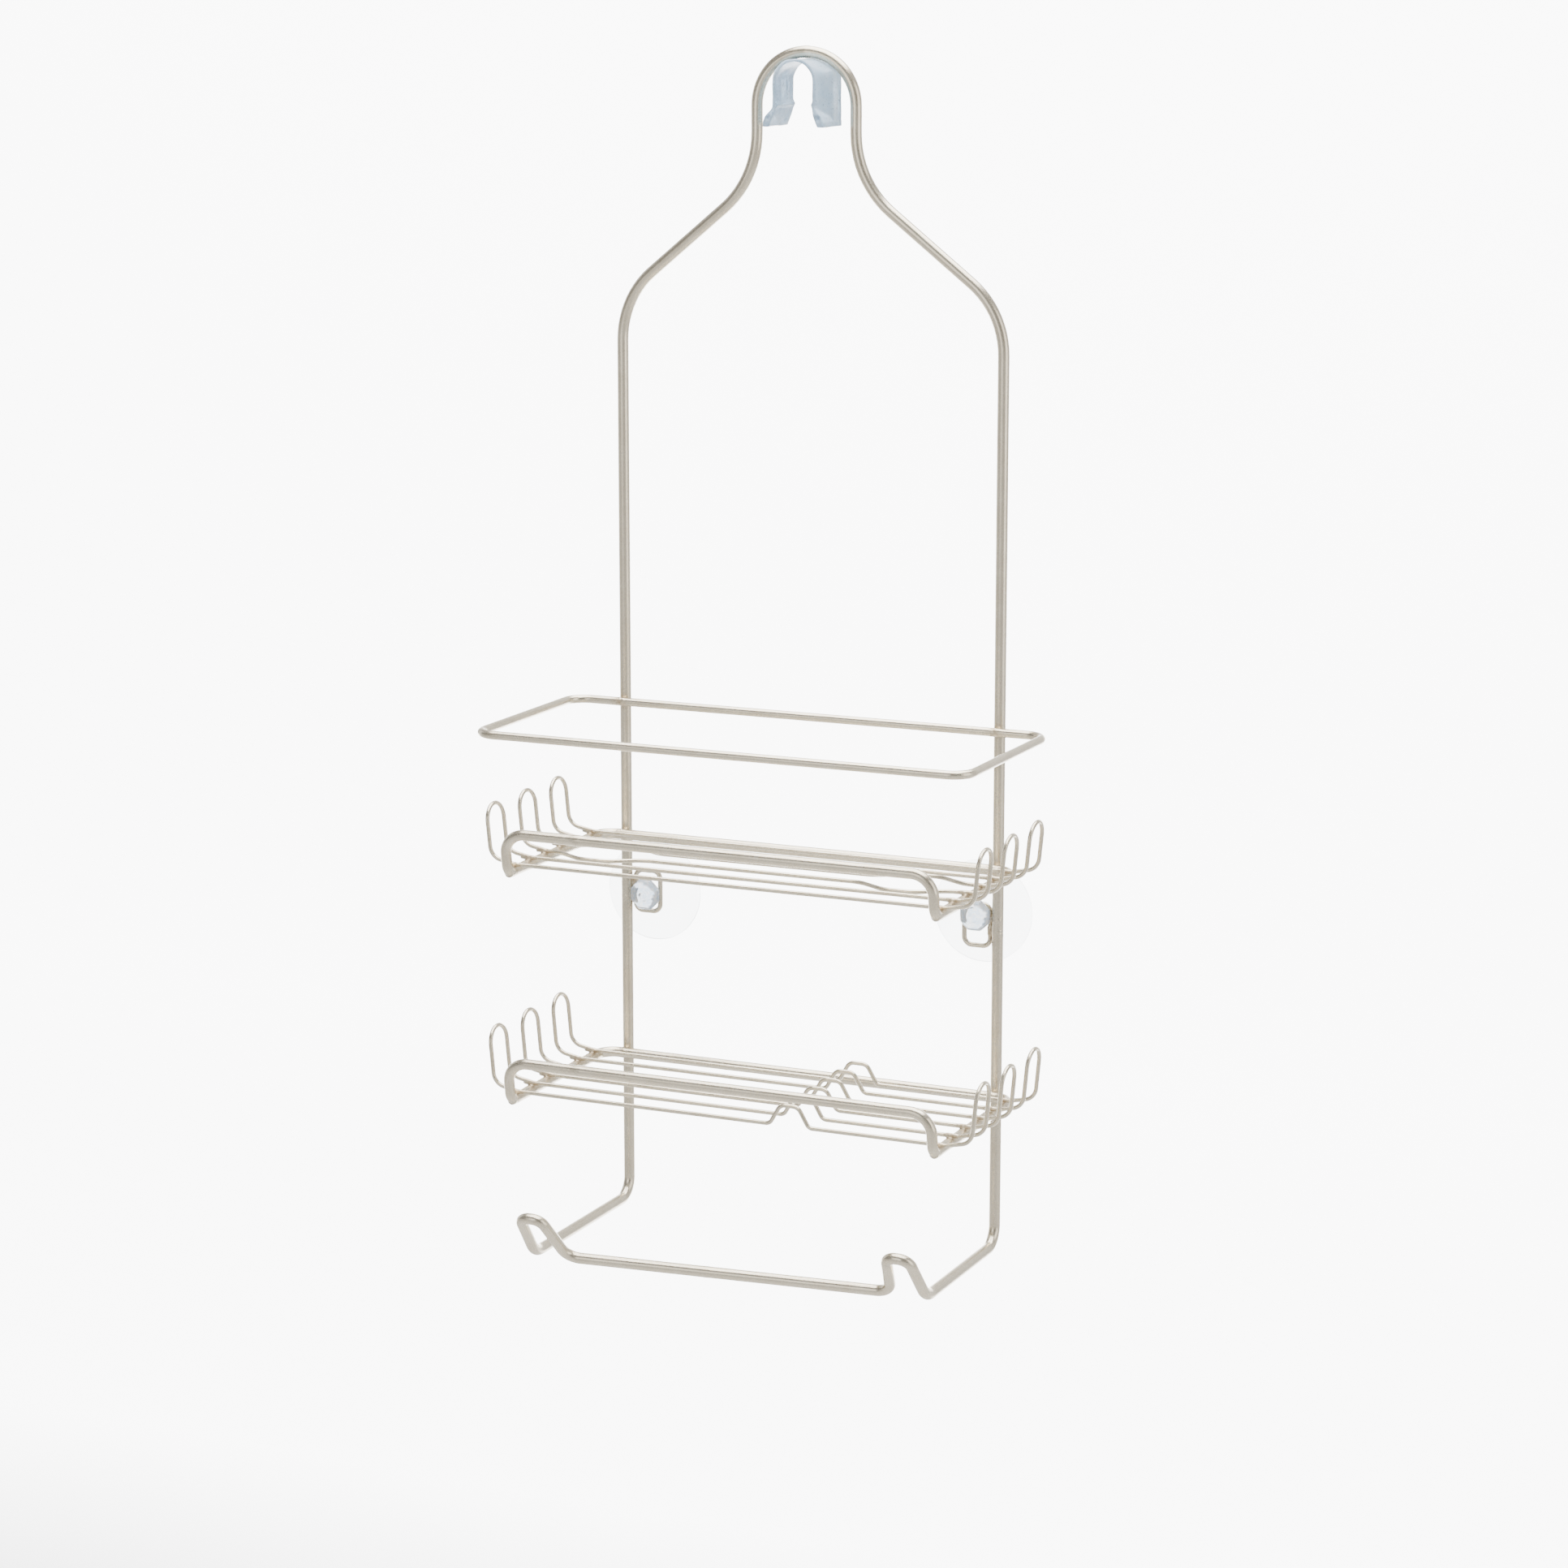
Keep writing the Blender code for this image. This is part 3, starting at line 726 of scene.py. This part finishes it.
def knob_vinyl():
    """The cup's solid head: glossy clear vinyl that looks bluish and streaky where it is thick."""
    n = Nodes("clear_knob_vinyl")
    cloud = n.noise(430, 3.0)
    tint = n.mix(n.ramp(cloud, 0.42, 0.60), KNOB_BLUE, KNOB_CLEAR)
    n.join(tint, n.shader.inputs["Base Color"])
    n.join(n.ramp(cloud, 0.3, 0.7, 0.04, 0.12), n.shader.inputs["Roughness"])
    n.bump(n.noise(380, 2.0), 0.0006, 0.6)
    n.set(Transmission_Weight=0.62, IOR=1.38, Coat_Weight=0.8, Coat_Roughness=0.04)
    return n.material


def frosted_vinyl():
    """Frosted bluish vinyl: milky, with a soft sheen."""
    n = Nodes("frosted_saddle_vinyl")
    cloud = n.noise(150, 3.0)
    tint = n.mix(n.ramp(cloud, 0.3, 0.7), FROST_DEEP, FROST_PALE)
    n.join(tint, n.shader.inputs["Base Color"])
    n.join(n.ramp(n.noise(900, 2.0), 0.3, 0.7, 0.26, 0.42), n.shader.inputs["Roughness"])
    n.bump(n.noise(700, 2.0), 0.00006, 0.3)
    n.set(Transmission_Weight=0.38, IOR=1.40, Coat_Weight=0.15, Coat_Roughness=0.2)
    return n.material


# ---- Suction cup -------------------------------------------------------------------------
HEAD_FACETS = 8
FACET_DEPTH = 0.055                # share of the radius
FACET_FROM = 0.58                  # nearer the middle than this the head is round
HEAD_RATIO = 0.322                 # head radius to bell radius
HEAD_BACK = 0.0062
HEAD_OUTLINE = (                   # share of the head's radius, depth behind its front
    (0.0, 0.0017), (0.13, 0.0015), (0.24, 0.0008), (0.30, 0.0003), (0.36, 0.0008),
    (0.44, 0.0010), (0.52, 0.0004), (0.62, 0.0), (0.74, 0.0003), (0.86, 0.0011),
    (0.95, 0.0024), (0.99, 0.0036), (0.98, 0.0048), (0.92, 0.0057), (0.80, 0.0061),
)
NECK_RADIUS = 0.0038
NECK_FRONT = 0.0064
NECK_BACK = 0.0092
NECK_FILLET = (0.0044, 0.0098)
BELL_HUB = ((0.80, 0.0100), (0.98, 0.0106))
BELL_LIP = 0.0005
BELL_EDGE = 0.0001
BELL_EDGE_IN = 0.0003
BELL_RIM_IN = 0.0010
BELL_HOLLOW = 0.0122               # the hollow's floor, behind the head's front
BELL_SLOPE = 0.55                  # the shell falls straight by this share of its depth
BELL_CURVE = 0.45                  # and in a curve, the cube of the radius, by this one
BELL_STEPS = 12
TURN_STEPS = 96


def turned(name, outline, centre, facet_depth=0.0, facet_from=0.0):
    """A piece turned about Y from (radius, depth) pairs; wide places may be drawn in to facets."""
    shape = bmesh.new()
    rings = []
    for across, along in outline:
        if across < SAME_POINT:
            rings.append([shape.verts.new(centre + Vector((0, along, 0)))])
            continue
        ring = []
        for step in range(TURN_STEPS):
            angle = 2 * math.pi * step / TURN_STEPS
            reach = across
            if across > facet_from:
                edge = abs(math.cos(HEAD_FACETS * angle / 2))
                reach -= across * facet_depth * edge
            ring.append(shape.verts.new(
                centre + Vector((reach * math.cos(angle), along, reach * math.sin(angle)))
            ))
        rings.append(ring)
    for near, far in zip(rings, rings[1:]):
        for step in range(TURN_STEPS):
            following = (step + 1) % TURN_STEPS
            corners = [near[step % len(near)], near[following % len(near)]]
            corners += [far[following % len(far)], far[step % len(far)]]
            shape.faces.new(list(dict.fromkeys(corners)))
    bmesh.ops.recalc_face_normals(shape, faces=shape.faces)
    for face in shape.faces:
        face.smooth = True
    return finish_mesh(name, shape)


def cup_pieces(label):
    """A cup in two pieces: the thin bell with its neck, and the faceted head in front of it."""
    low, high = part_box(f"{label}_suction_cup")
    centre = Vector(((low.x + high.x) / 2, low.y, (low.z + high.z) / 2))
    radius = (high.x - low.x) / 2
    depth = high.y - low.y
    head = radius * HEAD_RATIO
    knob = [(head * share, along) for share, along in HEAD_OUTLINE]
    knob += [(NECK_RADIUS, HEAD_BACK), (0.0, HEAD_BACK)]
    bell = [(0.0, NECK_FRONT), (NECK_RADIUS, NECK_FRONT), (NECK_RADIUS, NECK_BACK), NECK_FILLET]
    bell += [(head * share, along) for share, along in BELL_HUB]
    root_across, root_along = bell[-1]
    for index in range(1, BELL_STEPS + 1):
        ratio = index / BELL_STEPS
        across = root_across + (radius - root_across) * ratio
        fall = BELL_SLOPE * ratio + BELL_CURVE * ratio ** 3
        bell.append((across, root_along + (depth - BELL_LIP - root_along) * fall))
    bell += [(radius, depth - BELL_EDGE), (radius - BELL_EDGE_IN, depth)]
    bell.append((radius - BELL_RIM_IN, depth))
    for index in range(1, BELL_STEPS + 1):
        ratio = index / BELL_STEPS
        across = (radius - BELL_RIM_IN) * (1 - ratio)
        rise = math.sin(math.pi / 2 * ratio)
        bell.append((across, depth - (depth - BELL_HOLLOW) * rise))
    return (
        turned(f"{label}_cup_bell", bell, centre),
        turned(f"{label}_cup_knob", knob, centre, FACET_DEPTH, head * FACET_FROM),
    )


# ---- Saddle ------------------------------------------------------------------------------
ARM_RADIUS = 0.01065
SADDLE_CLEARANCE = 0.00015
SADDLE_CHANNEL = ARM_RADIUS + SADDLE_CLEARANCE
SADDLE_ARCH_GAP = 0.0003           # between the block and the hook's wire
SADDLE_HALF_WIDTH = 0.0175
SADDLE_RIM = 0.0019
SADDLE_BLOCK_Y = -0.0085
SADDLE_FLARE_START_Z = -0.0245
SADDLE_TOE_SPREAD = 0.0034
SADDLE_TOE = 0.0046
SADDLE_LIP = 0.0011                # how far the snap lips reach in under the arm
SADDLE_LIP_Z = -0.0228
SADDLE_LIP_HALF = 0.0013
SADDLE_SIDE_ROOM = 0.0002
SADDLE_CURVE = 1.3                 # how the block fills out and the toes splay
SADDLE_TOE_SPEED = 2.2
SADDLE_TOE_FORWARD = 0.0016
SADDLE_TOE_TOP = 0.0115            # above the foot, where the toe starts to come forward
SADDLE_TOE_FADE = 0.0050
SADDLE_FRONT_FADE = 0.0100
DIMPLE_SPREAD_SHARE = 0.55         # where across the toe the dimple is
DIMPLE_TOE_SHARE = 0.45
DIMPLE_RISE = 0.0048
DIMPLE_REACH = 0.0012
DIMPLE_DEPTH = 0.0013
DIMPLE_BEHIND = 0.0015             # no dimple further behind the front than this
RIPPLE_SCALE = 160
RIPPLE_HEIGHT = 0.00022
SADDLE_SLOT_Y = -0.0003
SADDLE_SLOT_DEPTH = 0.0016
SADDLE_SLOT_HALF = 0.0006
SADDLE_FUSE = (0.0004, 7)
SADDLE_SECTIONS = 48
SADDLE_ARC_STEPS = 14
SADDLE_LEG_STEPS = 26


def saddle_arch_reach(x, z, aim_x, aim_z, hook_top):
    """How far the full block reaches from the channel: to its side wall or to the hook's arch."""
    wall = (SADDLE_HALF_WIDTH - x) / aim_x if aim_x > 0.05 else 1.0
    arch_radius = HOOK_HALF_WIDTH - FRAME_WIRE / 2 - SADDLE_ARCH_GAP
    rise = z - (hook_top - HOOK_HALF_WIDTH)
    along = x * aim_x + rise * aim_z
    beyond = x ** 2 + rise ** 2 - arch_radius ** 2
    return min(wall, -along + math.sqrt(max(along ** 2 - beyond, 0)))


def saddle_half_section(y, front_y, end_z, hook_top):
    """Pairs of inner and outer (x, z) from the crown down to one toe."""
    fullness = min(1, max(0, (y - front_y) / (SADDLE_BLOCK_Y - front_y))) ** SADDLE_CURVE
    slot = SADDLE_SLOT_DEPTH * math.exp(-((y - SADDLE_SLOT_Y) / SADDLE_SLOT_HALF) ** 2)
    pairs = []
    for index in range(SADDLE_ARC_STEPS + 1):
        angle = math.pi / 2 * (1 - index / SADDLE_ARC_STEPS)
        aim_x, aim_z = math.cos(angle), math.sin(angle)
        x = SADDLE_CHANNEL * aim_x
        z = SADDLE_CHANNEL * aim_z - ARM_RADIUS
        block = saddle_arch_reach(x, z, aim_x, aim_z, hook_top)
        rim = min(SADDLE_RIM, block)
        reach = rim + (block - rim) * fullness
        if index == SADDLE_ARC_STEPS:
            reach -= slot
        pairs.append(((x, z), (x + reach * aim_x, z + reach * aim_z)))
    for index in range(1, SADDLE_LEG_STEPS + 1):
        z = -ARM_RADIUS + (end_z + ARM_RADIUS) * index / SADDLE_LEG_STEPS
        flare = max(0, SADDLE_FLARE_START_Z - z) / (SADDLE_FLARE_START_Z - end_z)
        lip = SADDLE_LIP * math.exp(-((z - SADDLE_LIP_Z) / SADDLE_LIP_HALF) ** 2)
        inner = SADDLE_CHANNEL + SADDLE_TOE_SPREAD * flare ** SADDLE_CURVE - lip
        full = SADDLE_HALF_WIDTH - SADDLE_CHANNEL
        outer = SADDLE_CHANNEL + SADDLE_RIM + (full - SADDLE_RIM) * fullness
        toe = min(1, flare * SADDLE_TOE_SPEED)
        outer = max(outer, inner + SADDLE_RIM + (SADDLE_TOE - SADDLE_RIM) * toe)
        outer = min(outer, SADDLE_HALF_WIDTH + SADDLE_SIDE_ROOM)
        pairs.append(((inner, z), (outer - slot * (1 - flare), z)))
    return pairs


def mould_saddle(mesh, low):
    """Pushes the toes forward, presses a dimple into each and lays a ripple over the skin."""
    toe_x = SADDLE_CHANNEL + SADDLE_TOE_SPREAD * DIMPLE_SPREAD_SHARE
    toe_x += SADDLE_TOE * DIMPLE_TOE_SHARE
    dimples = [Vector((side * toe_x, low.y, low.z + DIMPLE_RISE)) for side in (-1, 1)]
    normals = [vertex.normal.copy() for vertex in mesh.vertices]
    for vertex, normal in zip(mesh.vertices, normals):
        place = vertex.co.copy()
        toe = max(0, min(1, (low.z + SADDLE_TOE_TOP - place.z) / SADDLE_TOE_FADE))
        front = max(0, min(1, (low.y + SADDLE_FRONT_FADE - place.y) / SADDLE_FRONT_FADE))
        vertex.co.y -= SADDLE_TOE_FORWARD * toe * front
        for dimple in dimples:
            away = math.hypot(place.x - dimple.x, place.z - dimple.z) / DIMPLE_REACH
            if place.y < low.y + DIMPLE_BEHIND:
                vertex.co.y += DIMPLE_DEPTH * math.exp(-away ** 2)
        ripple = noise.noise(place * RIPPLE_SCALE)
        vertex.co += normal * ripple * RIPPLE_HEIGHT


def saddle_piece():
    """A loft of U sections along the arm, remeshed so that its edges come out moulded and soft."""
    low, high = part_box("arm_saddle")
    hook_top = wire_box("frame_wire_right", FRAME_WIRE)[1].z
    shape = bmesh.new()
    layers = []
    for index in range(SADDLE_SECTIONS + 1):
        y = low.y + (high.y - low.y) * index / SADDLE_SECTIONS
        half = saddle_half_section(y, low.y, low.z, hook_top)
        mirror = [((-i[0], i[1]), (-o[0], o[1])) for i, o in reversed(half[1:])]
        section = [*mirror, *half]
        inner = [shape.verts.new((x, y, z)) for (x, z), _ in section]
        outer = [shape.verts.new((x, y, z)) for _, (x, z) in section]
        layers.append([*inner, *reversed(outer)])
    size = len(layers[0])
    for near, far in zip(layers, layers[1:]):
        for index in range(size):
            following = (index + 1) % size
            shape.faces.new((near[index], near[following], far[following], far[index]))
    for layer in (layers[0], layers[-1]):
        for index in range(size // 2 - 1):
            shape.faces.new((layer[index], layer[-1 - index], layer[-2 - index], layer[index + 1]))
    bmesh.ops.recalc_face_normals(shape, faces=shape.faces)
    mesh = fused(finish_mesh("saddle_rough", shape), *SADDLE_FUSE)
    mould_saddle(mesh, low)
    for polygon in mesh.polygons:
        polygon.use_smooth = True
    obj = bpy.data.objects.new("arm_saddle_sleeve", mesh)
    bpy.context.scene.collection.objects.link(obj)
    return obj


# ---- Camera, light and stage ---------------------------------------------------------------
CAMERA_PLACE = (0.9060, -2.0500, 0.0606)
CAMERA_YAW = 24.20
CAMERA_PITCH = 11.58
CAMERA_LENS = 93.85

# a pale sweep: a floor that turns up into a wall, with a glowing patch behind the caddy
FLOOR_Z = -1.60
WALL_Y = 5.0
WALL_TOP = 5.0
SWEEP_BEND = 1.5
SWEEP_BEND_STEPS = 16
SWEEP_HALF_WIDTH = 60.0
SWEEP_FRONT_Y = -60.0
SWEEP_MIDDLE_Y = (-3.0, 2.0)       # the flat part under the caddy
SWEEP_GREY = (0.55, 0.55, 0.55, 1)
GLOW_MIDDLE_X = -1.9
GLOW_SIDE = (2.1, 2.7)             # full glow within the first distance, none beyond the second
GLOW_FRONT_Y = (0.9, 1.7)          # none before the first, full beyond the second
GLOW_TOP_Z = (0.0, 0.45)
GLOW_STRENGTH = 8.0
FILL_REACH = (2.2, 6.0)            # the floor glows more with distance, painted light that keeps it pale where the lamps fall off
FILL_STRENGTH = 0.50
WORLD_STRENGTH = 0.33
WORLD_COLOUR = (0.95, 0.96, 0.98, 1)

CADDY_MIDDLE = (0, 0, -0.35)
AREA_LIGHTS = (                    # name, place, target, width, height, watts, colour
    ("overhead", (0.0, 0.45, 2.3), (0.0, 0.45, -0.35), 3.2, 3.6, 330, (1, 1, 1)),
    ("front", (-0.6, -3.6, 0.35), CADDY_MIDDLE, 2.3, 1.8, 24, (1, 1, 1)),
    ("right", (3.0, -0.35, 0.35), CADDY_MIDDLE, 2.0, 2.6, 36, (1.0, 0.985, 0.96)),
    ("left", (-3.0, 0.5, 0.2), CADDY_MIDDLE, 1.2, 2.4, 10, (0.93, 0.96, 1.0)),
)


def add_camera():
    data = bpy.data.cameras.new("camera")
    data.lens = CAMERA_LENS
    data.sensor_width = 36
    data.clip_end = 100
    camera = bpy.data.objects.new("camera", data)
    camera.location = CAMERA_PLACE
    camera.rotation_euler = (math.radians(90 - CAMERA_PITCH), 0, math.radians(CAMERA_YAW))
    bpy.context.scene.collection.objects.link(camera)
    bpy.context.scene.camera = camera


def add_area(name, place, target, width, height, watts, colour):
    """A soft box aimed at a target; the camera doesn't see it."""
    data = bpy.data.lights.new(name, "AREA")
    data.shape = "RECTANGLE"
    data.size = width
    data.size_y = height
    data.energy = watts
    data.color = colour
    light = bpy.data.objects.new(name, data)
    light.location = place
    aim = Vector(target) - Vector(place)
    light.rotation_euler = aim.to_track_quat("-Z", "Y").to_euler()
    light.visible_camera = False
    bpy.context.scene.collection.objects.link(light)


def add_world():
    world = bpy.data.worlds.new("studio")
    world.use_nodes = True
    background = world.node_tree.nodes["Background"]
    background.inputs["Color"].default_value = WORLD_COLOUR
    background.inputs["Strength"].default_value = WORLD_STRENGTH
    bpy.context.scene.world = world


def add_floor():
    """The sweep: a profile drawn from front to back, then pulled out sideways."""
    profile = [(y, FLOOR_Z) for y in (SWEEP_FRONT_Y, *SWEEP_MIDDLE_Y)]
    centre_y, centre_z = WALL_Y - SWEEP_BEND, FLOOR_Z + SWEEP_BEND
    for index in range(SWEEP_BEND_STEPS + 1):
        angle = math.pi / 2 * index / SWEEP_BEND_STEPS
        y = centre_y + SWEEP_BEND * math.sin(angle)
        profile.append((y, centre_z - SWEEP_BEND * math.cos(angle)))
    profile.append((WALL_Y, WALL_TOP))
    shape = bmesh.new()
    rows = []
    for y, z in profile:
        rows.append([shape.verts.new((x, y, z)) for x in (-SWEEP_HALF_WIDTH, SWEEP_HALF_WIDTH)])
    for near, far in zip(rows, rows[1:]):
        shape.faces.new((near[0], near[1], far[1], far[0])).smooth = True
    floor = finish_mesh("studio_sweep", shape)
    n = Nodes("studio_sweep")
    split = n.add("ShaderNodeSeparateXYZ")
    n.join(n.place, split.inputs["Vector"])
    aside = n.maths("ABSOLUTE", n.maths("SUBTRACT", split.outputs["X"], GLOW_MIDDLE_X), 0.0)
    across = n.ramp(aside, *GLOW_SIDE, 1.0, 0.0)
    back = n.ramp(split.outputs["Y"], *GLOW_FRONT_Y)
    under = n.ramp(split.outputs["Z"], *GLOW_TOP_Z, GLOW_STRENGTH, 0.0)
    glow = n.maths("MULTIPLY", n.maths("MULTIPLY", across, back), under)
    away = n.add("ShaderNodeVectorMath", operation="LENGTH")
    n.join(n.place, away.inputs[0])
    # painted light: the floor glows more the further it is from the caddy, standing in for lamp
    # light that falls off
    fill = n.ramp(away.outputs["Value"], *FILL_REACH, 0.0, FILL_STRENGTH)
    n.join(n.maths("ADD", glow, fill), n.shader.inputs["Emission Strength"])
    n.set(Base_Color=SWEEP_GREY, Roughness=0.9, Emission_Color=(1, 1, 1, 1))
    floor.data.materials.append(n.material)


# ---- Assembly ----------------------------------------------------------------------------
def dress(obj, material, body, nodes):
    """Gives a piece its material, hangs it under its body's empty and hides the CAD nodes that it
    replaces.
    """
    obj.data.materials.clear()
    obj.data.materials.append(material)
    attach(obj, body)
    if nodes:
        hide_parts(*nodes)


def weld_pieces():
    """The pieces of weld beads, each with its places."""
    pieces = []
    for index, label in enumerate(SHELVES):
        pieces.append(floor_weld_piece(label, FLOOR_SEED * (index + 1)))
    pieces.append(upright_weld_piece())
    return pieces


def wire_pieces(apex, seam):
    """Every wire with the CAD nodes that it replaces."""
    butt_welds = [(apex, *APEX_SEAM), (seam, *BOTTOM_SEAM)]
    points = bent_path(frame_route(), True)
    main = tube("main_wire", points, FRAME_WIRE, True, WIRE_SIDES, butt_welds)
    pieces = [(main, ["frame_wire_left", "frame_wire_right"])]
    points = bent_path(ring_route(), True)
    ring = tube("guard_ring_wire", points, RING_WIRE, True, WIRE_SIDES)
    pieces.append((ring, ["guard_ring"]))
    for label in SHELVES:
        rail_seam = (rail_seam_place(label), *RAIL_SEAM)
        points = bent_path(shelf_route(label), True)
        rail = tube(f"{label}_shelf_rail", points, SHELF_WIRE, True, WIRE_SIDES, [rail_seam])
        pieces.append((rail, [f"{label}_shelf_frame"]))
        for loop_name in LOOP_NAMES:
            points = bent_path(loop_route(label, loop_name), True)
            loop = tube(f"{label}_floor_wire_{loop_name}", points, FLOOR_WIRE, True, THIN_SIDES)
            pieces.append((loop, [f"{label}_floor_loop_{loop_name}"]))
    for label in SIDES:
        points = bent_path(bracket_route(label), True)
        bracket = tube(f"{label}_bracket_wire", points, BRACKET_WIRE, True, THIN_SIDES)
        pieces.append((bracket, [f"{label}_cup_bracket"]))
    return pieces


def build():
    nickel = satin_nickel()
    clear = clear_vinyl()
    frosted = frosted_vinyl()
    knob = knob_vinyl()
    beads = weld_pieces()
    weld_places = [place for _, places in beads for place in places]
    route = frame_route()
    right_foot, left_foot = route[RIGHT_INNER_FOOT], route[LEFT_INNER_FOOT]
    apex = Vector((0, HOOK_Y, wire_box("frame_wire_right", FRAME_WIRE)[1].z))
    seam = Vector((SEAM_X, (right_foot[1] + left_foot[1]) / 2, right_foot[2]))
    scuffs = [apex + Vector((0, 0, -FRAME_WIRE / 2)), seam, *scuff_places()]
    for obj, nodes in wire_pieces(apex, seam):
        paint_marks(obj, weld_places, STAIN_REACH, "weld")
        paint_marks(obj, scuffs, SCUFF_REACH, "scuff")
        dress(obj, nickel, ROOT, nodes)
    for obj, places in beads:
        paint_marks(obj, places, STAIN_REACH, "weld")
        paint_marks(obj, [], SCUFF_REACH, "scuff")
        dress(obj, nickel, ROOT, [])
    for label in SIDES:
        bell, head = cup_pieces(label)
        dress(bell, clear, f"{label}_cup", [f"{label}_suction_cup"])
        dress(head, knob, f"{label}_cup", [])
    dress(saddle_piece(), frosted, ROOT, ["arm_saddle"])
    add_camera()
    add_world()
    add_floor()
    for light in AREA_LIGHTS:
        add_area(*light)


build()
